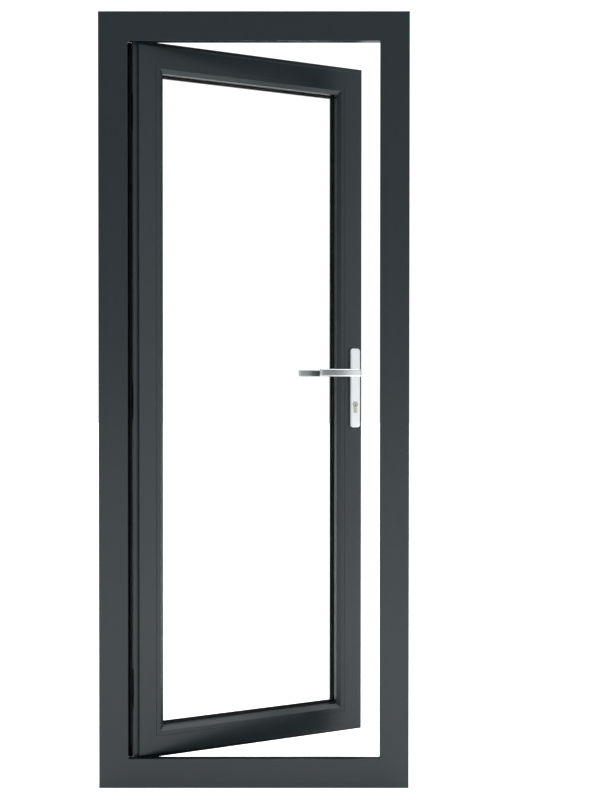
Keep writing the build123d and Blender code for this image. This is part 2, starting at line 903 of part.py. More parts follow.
with BuildPart() as lock_case_cover:
    with BuildSketch(Plane.XZ.offset(-case_far)):
        with Locations((case_middle_x, case_middle)):
            Rectangle(case_depth, case_height)
    extrude(amount=case_wall)
    with BuildSketch(Plane.XZ.offset(-case_far)):
        case_side_holes()
    extrude(amount=case_wall, mode=Mode.SUBTRACT)
write_hung(lock_case_cover, "lock_case_cover")

faceplate_front = case_front + faceplate_thickness
# Screws into the leaf's edge point back along the leaf, so their plane looks towards the hinges
edge_plane = Plane(origin=(faceplate_front, 0, 0), x_dir=(0, -1, 0), z_dir=(-1, 0, 0))


def on_edge_plane(places):
    return [(-across, height) for across, height in places]


faceplate_screw_sizes = (plate_screw_radius, plate_screw_head, plate_screw_length)
cylinder_screw_head = cylinder_screw_radius + plate_screw_head - plate_screw_radius
cylinder_screw_length = faceplate_front - lock_x + cylinder_leg_width / 2
cylinder_screw_sizes = (cylinder_screw_radius, cylinder_screw_head, cylinder_screw_length)
faceplate_screw_places = on_edge_plane(faceplate_screws_at)
cylinder_screw_places = on_edge_plane([(lock_y, cylinder_screw_height)])

with BuildPart() as lock_faceplate:
    with BuildSketch(Plane.YZ.offset(case_front)):
        with Locations((lock_y, case_middle)):
            RectangleRounded(faceplate_width, faceplate_length, plate_screw_head)
    extrude(amount=faceplate_thickness)
    with BuildSketch(Plane.YZ.offset(case_front)):
        bolt_windows()
    extrude(amount=faceplate_thickness, mode=Mode.SUBTRACT)
    add(countersunk_shape(edge_plane, faceplate_screw_places, *faceplate_screw_sizes), mode=Mode.SUBTRACT)
    add(countersunk_shape(edge_plane, cylinder_screw_places, *cylinder_screw_sizes), mode=Mode.SUBTRACT)
write_hung(lock_faceplate, "lock_faceplate")

with BuildPart() as faceplate_screws:
    add(countersunk_screws(edge_plane, faceplate_screw_places, *faceplate_screw_sizes))
write_hung(faceplate_screws, "faceplate_screws")

with BuildPart() as cylinder_screw:
    add(countersunk_screws(edge_plane, cylinder_screw_places, *cylinder_screw_sizes))
write_hung(cylinder_screw, "cylinder_screw")

# Follower: turned by the square spindle, its arm draws the latch back
follower_near = case_near + case_wall + cam_gap
follower_far = case_far - case_wall - cam_gap
with BuildPart() as lock_follower:
    with BuildSketch(Plane.XZ.offset(-follower_near)):
        with Locations((lock_x, spindle_height)):
            Circle(follower_radius)
            Rectangle(follower_arm_width, follower_arm_reach, align=(Align.CENTER, Align.MIN))
    extrude(amount=-(follower_far - follower_near))
    with BuildSketch(Plane.XZ.offset(-case_near)):
        with Locations((lock_x, spindle_height)):
            Circle(follower_hub_radius)
    extrude(amount=-case_thickness)
    with BuildSketch(Plane.XZ.offset(-case_near)):
        with Locations((lock_x, spindle_height)):
            Rectangle(spindle_side + 2 * spindle_fit, spindle_side + 2 * spindle_fit)
    extrude(amount=-case_thickness, mode=Mode.SUBTRACT)
write_hung(lock_follower, "lock_follower")

# Latch: a bevelled head, and a tail above the follower with a hook behind its arm
latch_tip_x = leaf_edge + latch_throw
latch_back_x = case_front - latch_body
hook_face_x = lock_x - follower_arm_width / 2 - follower_hook_gap
tail_bottom = spindle_height + follower_arm_reach + follower_hook_gap
hook_bottom = spindle_height + follower_radius + latch_clearance
latch_near = lock_y - latch_width / 2
with BuildPart() as latch_bolt:
    with BuildSketch(Plane.XY.offset(latch_height_mid - latch_height / 2)):
        with BuildLine():
            Polyline(
                (latch_back_x, latch_near),
                (leaf_edge + latch_clearance, latch_near),
                (latch_tip_x, latch_near + latch_width - latch_nose),
                (latch_tip_x, latch_near + latch_width),
                (latch_back_x, latch_near + latch_width),
                close=True,
            )
        make_face()
    extrude(amount=latch_height)
    with BuildSketch(Plane.XZ.offset(-latch_near)):
        with BuildLine():
            Polyline(
                (latch_back_x, tail_bottom),
                (hook_face_x, tail_bottom),
                (hook_face_x, hook_bottom),
                (hook_face_x - latch_hook, hook_bottom),
                (hook_face_x - latch_hook, tail_bottom + latch_tail),
                (latch_back_x, tail_bottom + latch_tail),
                close=True,
            )
        make_face()
    extrude(amount=-latch_width)
write_hung(latch_bolt, "latch_bolt")

# Deadbolt, drawn back flush with the faceplate
bolt_front_x = faceplate_front
bolt_length = bolt_throw + bolt_body
with BuildPart() as deadbolt:
    with BuildSketch(Plane.XZ.offset(-(lock_y - bolt_width / 2))):
        with Locations((bolt_front_x - bolt_length / 2, bolt_height_mid)):
            Rectangle(bolt_length, bolt_height)
        with Locations((lock_x, bolt_height_mid - bolt_height / 2)):
            Rectangle(cam_width + talon_clearance, talon_depth, align=(Align.CENTER, Align.MIN), mode=Mode.SUBTRACT)
    extrude(amount=-bolt_width)
    chamfer(deadbolt.edges().group_by(Axis.X)[-1], bolt_chamfer)
write_hung(deadbolt, "deadbolt")

# Cylinder: one body with a gap in its middle for the cam, and a plug from either side
cylinder_end = half_depth + plate_thickness + cylinder_proud
cam_near = lock_y - cam_length / 2
cam_far = lock_y + cam_length / 2
with BuildPart() as cylinder_body:
    with BuildSketch(Plane.XZ.offset(cylinder_end)):
        cylinder_outline(0)
    extrude(amount=-2 * cylinder_end)
    with BuildSketch(Plane.XZ.offset(cylinder_end)):
        with Locations((lock_x, cylinder_height)):
            Circle(plug_radius + plug_running)
    extrude(amount=-2 * cylinder_end, mode=Mode.SUBTRACT)
    with BuildSketch(Plane.XZ.offset(cam_gap - cam_near)):
        with Locations((lock_x, cylinder_height)):
            Circle(cam_radius + cam_gap)
    extrude(amount=-(cam_length + 2 * cam_gap), mode=Mode.SUBTRACT)
    with BuildSketch(Plane.YZ.offset(lock_x - cylinder_leg_width)):
        with Locations((lock_y, cylinder_screw_height)):
            Circle(cylinder_screw_radius + thread_pilot)
    extrude(amount=2 * cylinder_leg_width, mode=Mode.SUBTRACT)
write_hung(cylinder_body, "cylinder_body")

for plug_name, plug_start, plug_end, key_depth in (
    ("cylinder_plug_near", -cylinder_end, cam_near, keyway_depth),
    ("cylinder_plug_far", cylinder_end, cam_far, -keyway_depth),
):
    with BuildPart() as cylinder_plug:
        with BuildSketch(Plane.XZ.offset(-plug_start)):
            with Locations((lock_x, cylinder_height)):
                Circle(plug_radius)
        extrude(amount=plug_start - plug_end)
        with BuildSketch(Plane.XZ.offset(-plug_start)):
            with Locations((lock_x, cylinder_height - plug_radius)):
                Rectangle(keyway_width, 2 * keyway_height)
        extrude(amount=-key_depth, mode=Mode.SUBTRACT)
    write_hung(cylinder_plug, plug_name)

with BuildPart() as cylinder_cam:
    with BuildSketch(Plane.XZ.offset(-cam_near)):
        with Locations((lock_x, cylinder_height)):
            Circle(plug_radius + cam_gap)
            Rectangle(cam_width, cam_radius, align=(Align.CENTER, Align.MAX))
            Circle(cam_radius, mode=Mode.INTERSECT)
    extrude(amount=-cam_length)
write_hung(cylinder_cam, "cylinder_cam")

# Handles: the near side is drawn, and the far side is its mirror image
front_of_plate = half_depth + plate_thickness
grub_projection = plate_thickness + collar_height + neck_straight / 2
grub_length = neck_radius - spindle_side / 2


def handle_plate():
    with BuildPart() as plate:
        with BuildSketch(Plane.XZ.offset(half_depth)):
            with Locations((lock_x, plate_middle)):
                RectangleRounded(plate_width, plate_height, plate_corner)
        extrude(amount=plate_thickness)
        fillet(plate.edges().group_by(Axis.Y)[0], plate_edge_round)
        with BuildSketch(Plane.XZ.offset(half_depth)):
            with Locations((lock_x, plate_middle)):
                RectangleRounded(
                    plate_width - 2 * plate_shell,
                    plate_height - 2 * plate_shell,
                    plate_corner - plate_shell,
                )
            with Locations((lock_x, spindle_height)):
                Circle(collar_radius, mode=Mode.SUBTRACT)
            with Locations(*plate_bolts_at):
                Circle(boss_radius, mode=Mode.SUBTRACT)
        extrude(amount=plate_thickness - plate_shell, mode=Mode.SUBTRACT)
        with BuildSketch(Plane.XZ.offset(half_depth)):
            with Locations((lock_x, spindle_height)):
                Circle(bush_outer)
            cylinder_outline(cylinder_clearance)
        extrude(amount=plate_thickness, mode=Mode.SUBTRACT)
    return plate.part


def handle_bush():
    with BuildPart() as bush:
        with BuildSketch(Plane.XZ.offset(half_depth)):
            with Locations((lock_x, spindle_height)):
                Circle(bush_outer)
        extrude(amount=plate_thickness)
        with BuildSketch(Plane.XZ.offset(front_of_plate)):
            with Locations((lock_x, spindle_height)):
                Circle(collar_radius)
        extrude(amount=collar_height)
        chamfer(bush.edges().group_by(Axis.Y)[0], collar_chamfer)
        with BuildSketch(Plane.XZ.offset(half_depth)):
            with Locations((lock_x, spindle_height)):
                Circle(neck_radius + neck_running)
        extrude(amount=plate_thickness + collar_height, mode=Mode.SUBTRACT)
    return bush.part


def lever_handle():
    neck_start = half_depth + neck_inset
    neck_end = front_of_plate + collar_height + neck_straight
    bend_start = half_depth + bar_projection - bar_bend
    bar_y = -(half_depth + bar_projection)
    with BuildPart() as lever:
        with BuildSketch(Plane.XZ.offset(neck_start)):
            with Locations((lock_x, spindle_height)):
                Circle(neck_radius)
        extrude(amount=neck_end - neck_start)
        with BuildSketch(Plane.XZ.offset(neck_end)):
            with Locations((lock_x, spindle_height)):
                Circle(neck_radius)
        with BuildSketch(Plane.XZ.offset(bend_start)):
            with Locations((lock_x, spindle_height)):
                RectangleRounded(bar_thickness, bar_height, bar_round)
        loft()
        with BuildSketch(Plane.XZ.offset(bend_start)):
            with Locations((lock_x, spindle_height)):
                RectangleRounded(bar_thickness, bar_height, bar_round)
        revolve(axis=Axis((lock_x - bar_bend, -bend_start, 0), (0, 0, -1)), revolution_arc=90)
        with BuildSketch(Plane.YZ.offset(lock_x - bar_bend)):
            with Locations((bar_y, spindle_height)):
                RectangleRounded(bar_thickness, bar_height, bar_round)
        extrude(amount=bar_bend - lever_length)
        fillet(lever.edges().group_by(Axis.X)[0], lever_end_round)
        with BuildSketch(Plane.XZ.offset(half_depth)):
            with Locations((lock_x, spindle_height)):
                Rectangle(spindle_side + 2 * spindle_fit, spindle_side + 2 * spindle_fit)
        extrude(amount=plate_thickness + spindle_sink + spindle_fit, mode=Mode.SUBTRACT)
        with BuildSketch(Plane.XY.offset(spindle_height - neck_radius - 1)):
            with Locations((lock_x, -(half_depth + grub_projection))):
                Circle(grub_radius + spindle_fit)
        extrude(amount=neck_radius, mode=Mode.SUBTRACT)
    return lever.part


near_plate_solid = handle_plate()
near_bush_solid = handle_bush()
near_lever_solid = lever_handle()
bolt_plane = Plane(origin=(0, front_of_plate, 0), x_dir=(1, 0, 0), z_dir=(0, -1, 0))
plate_bolt_length = front_of_plate + half_depth + plate_thickness / 2
plate_bolt_sizes = (plate_bolt_radius, plate_bolt_head, plate_bolt_length)

with BuildPart() as handle_plate_near:
    add(near_plate_solid)
    with BuildSketch(Plane.XZ.offset(half_depth)):
        with Locations(*plate_bolts_at):
            Circle(boss_radius)
    extrude(amount=-wall)
    with BuildSketch(Plane.XZ.offset(half_depth - wall)):
        with Locations(*plate_bolts_at):
            Circle(plate_bolt_radius + thread_pilot)
    extrude(amount=wall + plate_thickness / 2 + 1, mode=Mode.SUBTRACT)
write_hung(handle_plate_near, "handle_plate_near")

with BuildPart() as handle_plate_far:
    add(mirror(near_plate_solid, about=Plane.XZ, mode=Mode.PRIVATE))
    with BuildSketch(Plane.XZ.offset(-front_of_plate)):
        with Locations(*plate_bolts_at):
            Circle(plate_bolt_radius + thread_pilot)
    extrude(amount=plate_thickness, mode=Mode.SUBTRACT)
    add(countersunk_shape(bolt_plane, plate_bolts_at, *plate_bolt_sizes), mode=Mode.SUBTRACT)
write_hung(handle_plate_far, "handle_plate_far")

with BuildPart() as plate_bolts:
    add(countersunk_screws(bolt_plane, plate_bolts_at, *plate_bolt_sizes))
write_hung(plate_bolts, "plate_bolts")

with BuildPart() as handle_bush_near:
    add(near_bush_solid)
write_hung(handle_bush_near, "handle_bush_near")

with BuildPart() as handle_bush_far:
    add(mirror(near_bush_solid, about=Plane.XZ, mode=Mode.PRIVATE))
write_hung(handle_bush_far, "handle_bush_far")

with BuildPart() as lever_near:
    add(near_lever_solid)
write_hung(lever_near, "lever_near")

with BuildPart() as lever_far:
    add(mirror(near_lever_solid, about=Plane.XZ, mode=Mode.PRIVATE))
write_hung(lever_far, "lever_far")

spindle_half = half_depth + plate_thickness + spindle_sink
with BuildPart() as spindle:
    with BuildSketch(Plane.XZ.offset(spindle_half)):
        with Locations((lock_x, spindle_height)):
            Rectangle(spindle_side, spindle_side)
    extrude(amount=-2 * spindle_half)
write_hung(spindle, "spindle")

with BuildPart() as lever_grub_screws:
    with BuildSketch(Plane.XY.offset(spindle_height - neck_radius)):
        for side in (-1, 1):
            with Locations((lock_x, side * (half_depth + grub_projection))):
                Circle(grub_radius)
                RegularPolygon(grub_radius * 0.5, 6, mode=Mode.SUBTRACT)
    extrude(amount=grub_length)
write_hung(lever_grub_screws, "lever_grub_screws")
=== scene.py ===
# Glazed aluminium door in its frame: camera, light, finishes and the fine pieces round the CAD model.
# Metres, in the CAD model's own frame: +X to the right, +Y away from the near side, +Z up.

import json
import math

import bmesh
import bpy
from mathutils import Matrix, Vector


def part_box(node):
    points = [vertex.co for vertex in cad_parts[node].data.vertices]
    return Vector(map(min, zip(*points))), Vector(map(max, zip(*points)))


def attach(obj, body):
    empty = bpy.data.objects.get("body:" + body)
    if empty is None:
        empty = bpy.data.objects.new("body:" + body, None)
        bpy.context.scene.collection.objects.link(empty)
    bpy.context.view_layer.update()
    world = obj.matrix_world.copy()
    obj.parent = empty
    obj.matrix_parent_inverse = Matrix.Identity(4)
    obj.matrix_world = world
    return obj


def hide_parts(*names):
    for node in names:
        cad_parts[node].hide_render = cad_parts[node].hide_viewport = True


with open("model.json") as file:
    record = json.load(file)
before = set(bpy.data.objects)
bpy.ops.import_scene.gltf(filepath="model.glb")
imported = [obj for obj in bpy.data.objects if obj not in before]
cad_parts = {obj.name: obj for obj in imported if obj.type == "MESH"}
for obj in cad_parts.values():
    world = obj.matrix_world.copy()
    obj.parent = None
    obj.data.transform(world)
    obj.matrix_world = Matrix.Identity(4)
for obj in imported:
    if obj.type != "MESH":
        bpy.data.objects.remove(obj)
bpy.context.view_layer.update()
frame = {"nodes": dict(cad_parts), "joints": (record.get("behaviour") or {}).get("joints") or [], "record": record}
print("stage: frame loaded,", len(frame["nodes"]), "nodes")

millimetre = 0.001

leafSwing = next(joint for joint in frame["joints"] if joint["name"] == "leaf_swing")
hingePoint = Vector(leafSwing["pos_m"])
openAngle = math.radians(-leafSwing["range_deg"][0])
swing = Matrix.Rotation(openAngle, 4, "Z")
# Turns a piece that is drawn on the closed leaf to where the leaf stands
hungPlace = Matrix.Translation(hingePoint) @ swing @ Matrix.Translation(-hingePoint)


def linearColour(hexColour):
    # sRGB hex to the linear values that Blender's nodes take
    channels = [int(hexColour[i:i + 2], 16) / 255 for i in (0, 2, 4)]
    linear = [c / 12.92 if c <= 0.04045 else ((c + 0.055) / 1.055) ** 2.4 for c in channels]
    return (*linear, 1.0)


def addNode(tree, kind, inputs=None, **settings):
    # one node with its settings, its input values and the links into it
    node = tree.nodes.new(kind)
    for name, value in settings.items():
        setattr(node, name, value)
    for name, value in (inputs or {}).items():
        if isinstance(value, bpy.types.NodeSocket):
            tree.links.new(value, node.inputs[name])
        else:
            node.inputs[name].default_value = value
    return node


# Camera, light and floor
cameraPlace = {
    "distance": 2.775,
    "height": 1.082,
    "pitchDegrees": -0.6,
    "lensMillimetres": 45.72,
    "shiftX": 0.0576,
    "clipEnd": 100,
}

cameraData = bpy.data.cameras.new("camera")
cameraData.lens = cameraPlace["lensMillimetres"]
cameraData.shift_x = cameraPlace["shiftX"]
cameraData.clip_end = cameraPlace["clipEnd"]
camera = bpy.data.objects.new("camera", cameraData)
camera.location = (0, -cameraPlace["distance"], cameraPlace["height"])
camera.rotation_euler = (math.radians(90 + cameraPlace["pitchDegrees"]), 0, 0)
bpy.context.scene.collection.objects.link(camera)
bpy.context.scene.camera = camera

# The sky's tones have a stop each, from zero straight down to one straight up
studio = {
    "backdrop": "ffffff",
    "backdropStrength": 1.14,
    "ground": "e0e0e0",
    "groundStop": 0.25,
    "horizon": "bfc3c5",
    "horizonStop": 0.5,
    "ceiling": "888f93",
    "ceilingStop": 0.74,
    "zenith": "f2f3f4",
    "zenithStop": 0.9,
    "skyStrength": 0.8,
    "keyDirection": (0.8, -0.54, -0.26),
    "keyEdge": 0.6,
    "keyGain": 2.9,
    "overheadEdge": 0.5,
    "overheadFull": 0.85,
    "overheadGain": 1.8,
}


def lookedAt(tree):
    # One where the backdrop or floor is seen, straight or through the pane, and zero in what is mirrored
    rays = addNode(tree, "ShaderNodeLightPath").outputs
    seen = addNode(
        tree,
        "ShaderNodeMath",
        {0: rays["Is Camera Ray"], 1: rays["Is Transmission Ray"]},
        operation="MAXIMUM",
    )
    # the depth counts mirrorings, so half of one lies between none and the first
    direct = addNode(tree, "ShaderNodeMath", {0: rays["Glossy Depth"], 1: 0.5}, operation="LESS_THAN")
    both = addNode(tree, "ShaderNodeMath", {0: seen.outputs[0], 1: direct.outputs[0]}, operation="MULTIPLY")
    return both.outputs[0]


def makeWorld():
    # White where it is looked at, a soft grey studio where it lights and is mirrored
    world = bpy.data.worlds.new("studio")
    world.use_nodes = True
    tree = world.node_tree
    tree.nodes.clear()
    place = addNode(tree, "ShaderNodeTexCoord")
    axes = addNode(tree, "ShaderNodeSeparateXYZ", {"Vector": place.outputs["Generated"]})
    upward = addNode(
        tree,
        "ShaderNodeMapRange",
        {"Value": axes.outputs["Z"], "From Min": -1.0, "From Max": 1.0},
    )
    shade = addNode(tree, "ShaderNodeValToRGB", {"Fac": upward.outputs["Result"]})
    tones = shade.color_ramp.elements
    tones[0].position = studio["groundStop"]
    tones[0].color = linearColour(studio["ground"])
    tones[1].position = studio["zenithStop"]
    tones[1].color = linearColour(studio["zenith"])
    tones.new(studio["horizonStop"]).color = linearColour(studio["horizon"])
    tones.new(studio["ceilingStop"]).color = linearColour(studio["ceiling"])
    # a wide soft box overhead, which the bead's bevel below the pane mirrors
    overhead = addNode(
        tree,
        "ShaderNodeMapRange",
        {
            "Value": axes.outputs["Z"],
            "From Min": studio["overheadEdge"],
            "From Max": studio["overheadFull"],
            "To Max": studio["overheadGain"],
        },
    )
    # a broad soft light from low at the front right, which the ajar leaf mirrors
    towardsKey = addNode(
        tree,
        "ShaderNodeVectorMath",
        {0: place.outputs["Generated"], 1: studio["keyDirection"]},
        operation="DOT_PRODUCT",
    )
    strength = addNode(
        tree,
        "ShaderNodeMapRange",
        {
            "Value": towardsKey.outputs["Value"],
            "From Min": studio["keyEdge"],
            "From Max": 1.0,
            "To Min": studio["skyStrength"],
            "To Max": studio["skyStrength"] * studio["keyGain"],
        },
    )
    total = addNode(
        tree,
        "ShaderNodeMath",
        {0: strength.outputs[0], 1: overhead.outputs[0]},
        operation="ADD",
    )
    sky = addNode(
        tree,
        "ShaderNodeBackground",
        {"Color": shade.outputs["Color"], "Strength": total.outputs[0]},
    )
    white = addNode(
        tree,
        "ShaderNodeBackground",
        {"Color": linearColour(studio["backdrop"]), "Strength": studio["backdropStrength"]},
    )
    both = addNode(
        tree,
        "ShaderNodeMixShader",
        {0: lookedAt(tree), 1: sky.outputs[0], 2: white.outputs[0]},
    )
    addNode(tree, "ShaderNodeOutputWorld", {"Surface": both.outputs[0]})
    bpy.context.scene.world = world


makeWorld()

softBoxes = {
    "backHigh": {"at": (0.6, 3.4, 3.2), "aim": (0, 0, 1.0), "size": 2.6, "watts": 40},
    "sideLow": {"at": (2.0, -1.2, 1.8), "aim": (1.3, -1.0, 0), "size": 1.2, "watts": 22},
}
for boxName, box in softBoxes.items():
    lamp = bpy.data.lights.new(boxName, "AREA")
    lamp.shape = "DISK"
    lamp.size = box["size"]
    lamp.energy = box["watts"]
    lampObject = bpy.data.objects.new(boxName, lamp)
    lampObject.location = box["at"]
    lampObject.visible_glossy = False
    lampObject.visible_transmission = False
    aim = Vector(box["aim"]) - Vector(box["at"])
    lampObject.rotation_euler = aim.to_track_quat("-Z", "Y").to_euler()
    bpy.context.scene.collection.objects.link(lampObject)

bpy.context.scene.view_settings.view_transform = "Standard"
bpy.context.scene.view_settings.look = "None"


def newMaterial(name):
    # An empty material and the shader at its end
    material = bpy.data.materials.new(name)
    material.use_nodes = True
    tree = material.node_tree
    tree.nodes.clear()
    shader = addNode(tree, "ShaderNodeBsdfPrincipled")
    addNode(tree, "ShaderNodeOutputMaterial", {"Surface": shader.outputs["BSDF"]})
    return material, tree, shader


floorPaint = {
    "colour": "efefee",
    "mottleColour": "fafafa",
    "mottleScale": 2.0,
    "mottleDetail": 3.0,
    "roughness": 0.8,
    "glowColour": "ffffff",
    "glow": 0.12,
    "shown": 1.0,
    "size": 60.0,
}


def plainFloor():
    # Matt painted studio floor, faintly mottled
    material, tree, shader = newMaterial("mattFloorPaint")
    place = addNode(tree, "ShaderNodeTexCoord")
    mottle = addNode(
        tree,
        "ShaderNodeTexNoise",
        {
            "Vector": place.outputs["Object"],
            "Scale": floorPaint["mottleScale"],
            "Detail": floorPaint["mottleDetail"],
        },
    )
    # the mix node keeps its two colours and their mix in these sockets
    colour = addNode(
        tree,
        "ShaderNodeMix",
        {
            "Factor": mottle.outputs["Fac"],
            6: linearColour(floorPaint["colour"]),
            7: linearColour(floorPaint["mottleColour"]),
        },
        data_type="RGBA",
    )
    tree.links.new(colour.outputs[2], shader.inputs["Base Color"])
    shader.inputs["Roughness"].default_value = floorPaint["roughness"]
    shader.inputs["Emission Color"].default_value = linearColour(floorPaint["glowColour"])
    # white where it is looked at, like the backdrop, and darker where it lights and is mirrored
    glow = addNode(
        tree,
        "ShaderNodeMapRange",
        {"Value": lookedAt(tree), "To Min": floorPaint["glow"], "To Max": floorPaint["shown"]},
    )
    tree.links.new(glow.outputs[0], shader.inputs["Emission Strength"])
    half = floorPaint["size"] / 2
    corners = [(-half, -half, 0), (half, -half, 0), (half, half, 0), (-half, half, 0)]
    mesh = bpy.data.meshes.new("floor")
    mesh.from_pydata(corners, [], [(0, 1, 2, 3)])
    mesh.materials.append(material)
    floor = bpy.data.objects.new("floor", mesh)
    bpy.context.scene.collection.objects.link(floor)


plainFloor()
print("stage: camera, studio light and floor")


# Finishes
powderCoat = {
    "colour": "1c2427",
    "roughness": 0.28,
    "roughnessSpread": 0.05,
    "peelMillimetres": 2.2,
    "peelDetail": 2.0,
    "peelDepth": 0.00003,
    "peelStrength": 0.35,
    "grainMillimetres": 0.45,
    "grainDetail": 1.0,
    "speckEdges": (0.3, 0.7),
    "speck": 0.1,
    "cloudScale": 3.0,
    "cloudDetail": 3.0,
    "cloud": 0.06,
    "refraction": 1.5,
}


def satinPowderCoat(name):
    # Polyester powder coat on extruded aluminium: satin, with a fine orange peel and a fine grain.
    # The grain of the real coat is about 0.1 mm, drawn coarser here so that it shows.
    material, tree, shader = newMaterial(name)
    place = addNode(tree, "ShaderNodeTexCoord")
    at = place.outputs["Object"]
    peel = addNode(
        tree,
        "ShaderNodeTexNoise",
        {
            "Vector": at,
            "Scale": 1 / (powderCoat["peelMillimetres"] * millimetre),
            "Detail": powderCoat["peelDetail"],
        },
    )
    grain = addNode(
        tree,
        "ShaderNodeTexNoise",
        {
            "Vector": at,
            "Scale": 1 / (powderCoat["grainMillimetres"] * millimetre),
            "Detail": powderCoat["grainDetail"],
        },
    )
    cloud = addNode(
        tree,
        "ShaderNodeTexNoise",
        {"Vector": at, "Scale": powderCoat["cloudScale"], "Detail": powderCoat["cloudDetail"]},
    )
    tone = addNode(
        tree,
        "ShaderNodeMapRange",
        {
            "Value": cloud.outputs["Fac"],
            "To Min": 1 - powderCoat["cloud"],
            "To Max": 1 + powderCoat["cloud"],
        },
    )
    speck = addNode(
        tree,
        "ShaderNodeMapRange",
        {
            "Value": grain.outputs["Fac"],
            "From Min": powderCoat["speckEdges"][0],
            "From Max": powderCoat["speckEdges"][1],
            "To Min": 1 - powderCoat["speck"],
            "To Max": 1 + powderCoat["speck"],
        },
    )
    shade = addNode(
        tree,
        "ShaderNodeMath",
        {0: tone.outputs[0], 1: speck.outputs[0]},
        operation="MULTIPLY",
    )
    colour = addNode(
        tree,
        "ShaderNodeVectorMath",
        {0: linearColour(powderCoat["colour"])[:3], "Scale": shade.outputs[0]},
        operation="SCALE",
    )
    tree.links.new(colour.outputs[0], shader.inputs["Base Color"])
    rough = addNode(
        tree,
        "ShaderNodeMapRange",
        {
            "Value": grain.outputs["Fac"],
            "To Min": powderCoat["roughness"] - powderCoat["roughnessSpread"],
            "To Max": powderCoat["roughness"] + powderCoat["roughnessSpread"],
        },
    )
    tree.links.new(rough.outputs[0], shader.inputs["Roughness"])
    height = addNode(
        tree,
        "ShaderNodeMath",
        {0: peel.outputs["Fac"], 1: grain.outputs["Fac"]},
        operation="ADD",
    )
    bump = addNode(
        tree,
        "ShaderNodeBump",
        {
            "Height": height.outputs[0],
            "Strength": powderCoat["peelStrength"],
            "Distance": powderCoat["peelDepth"],
        },
    )
    tree.links.new(bump.outputs[0], shader.inputs["Normal"])
    shader.inputs["IOR"].default_value = powderCoat["refraction"]
    return material


rubber = {
    "colour": "0a0a0b",
    "specular": 0.12,
    "roughnessEnds": (0.5, 0.75),
    "grainMillimetres": 0.9,
    "grainDetail": 3.0,
    "grainDepth": 0.00005,
    "grainStrength": 0.25,
}


def extrudedRubber(name):
    # EPDM seal: dull black, with a fine grain that breaks up its sheen
    material, tree, shader = newMaterial(name)
    place = addNode(tree, "ShaderNodeTexCoord")
    grain = addNode(
        tree,
        "ShaderNodeTexNoise",
        {
            "Vector": place.outputs["Object"],
            "Scale": 1 / (rubber["grainMillimetres"] * millimetre),
            "Detail": rubber["grainDetail"],
        },
    )
    rough = addNode(
        tree,
        "ShaderNodeMapRange",
        {
            "Value": grain.outputs["Fac"],
            "To Min": rubber["roughnessEnds"][0],
            "To Max": rubber["roughnessEnds"][1],
        },
    )
    tree.links.new(rough.outputs[0], shader.inputs["Roughness"])
    bump = addNode(
        tree,
        "ShaderNodeBump",
        {
            "Height": grain.outputs["Fac"],
            "Strength": rubber["grainStrength"],
            "Distance": rubber["grainDepth"],
        },
    )
    tree.links.new(bump.outputs[0], shader.inputs["Normal"])
    shader.inputs["Base Color"].default_value = linearColour(rubber["colour"])
    shader.inputs["Specular IOR Level"].default_value = rubber["specular"]
    return material


glass = {
    "tint": "fcfefd",
    "refraction": 1.52,
    "waveScale": 1.6,
    "waveDetail": 1.0,
    "waveDepth": 0.0004,
    "waveStrength": 0.05,
}


def laminatedGlass(name):
    # Clear float glass, laminated: polished, faintly green, with a slight slow waviness
    material, tree, shader = newMaterial(name)
    place = addNode(tree, "ShaderNodeTexCoord")
    wave = addNode(
        tree,
        "ShaderNodeTexNoise",
        {
            "Vector": place.outputs["Object"],
            "Scale": glass["waveScale"],
            "Detail": glass["waveDetail"],
        },
    )
    bump = addNode(
        tree,
        "ShaderNodeBump",
        {
            "Height": wave.outputs["Fac"],
            "Strength": glass["waveStrength"],
            "Distance": glass["waveDepth"],
        },
    )
    tree.links.new(bump.outputs[0], shader.inputs["Normal"])
    shader.inputs["Base Color"].default_value = linearColour(glass["tint"])
    shader.inputs["Roughness"].default_value = 0.0
    shader.inputs["IOR"].default_value = glass["refraction"]
    shader.inputs["Transmission Weight"].default_value = 1.0
    return material


# The stretch is smallest along the scratches
metals = {
    "anodisedAluminium": {
        "colour": "e2e3e4",
        "roughness": 0.3,
        "scratchMillimetres": 0.5,
        "stretch": (1.0, 1.0, 0.06),
        "depth": 0.00002,
    },
    "millAluminium": {
        "colour": "c4c6c8",
        "roughness": 0.38,
        "scratchMillimetres": 0.8,
        "stretch": (1.0, 1.0, 0.05),
        "depth": 0.00004,
    },
    "zincPlatedSteel": {
        "colour": "b4b4b0",
        "roughness": 0.36,
        "scratchMillimetres": 0.9,
        "stretch": (1.0, 1.0, 0.3),
        "depth": 0.00004,
    },
    "stainlessSteel": {
        "colour": "b0b0af",
        "roughness": 0.26,
        "scratchMillimetres": 0.4,
        "stretch": (1.0, 1.0, 0.4),
        "depth": 0.00002,
    },
    "satinNickel": {
        "colour": "b9b4a8",
        "roughness": 0.3,
        "scratchMillimetres": 0.35,
        "stretch": (0.2, 1.0, 1.0),
        "depth": 0.00002,
    },
}
brushing = {"roughnessSpread": 0.07, "detail": 2.0, "strength": 0.3}


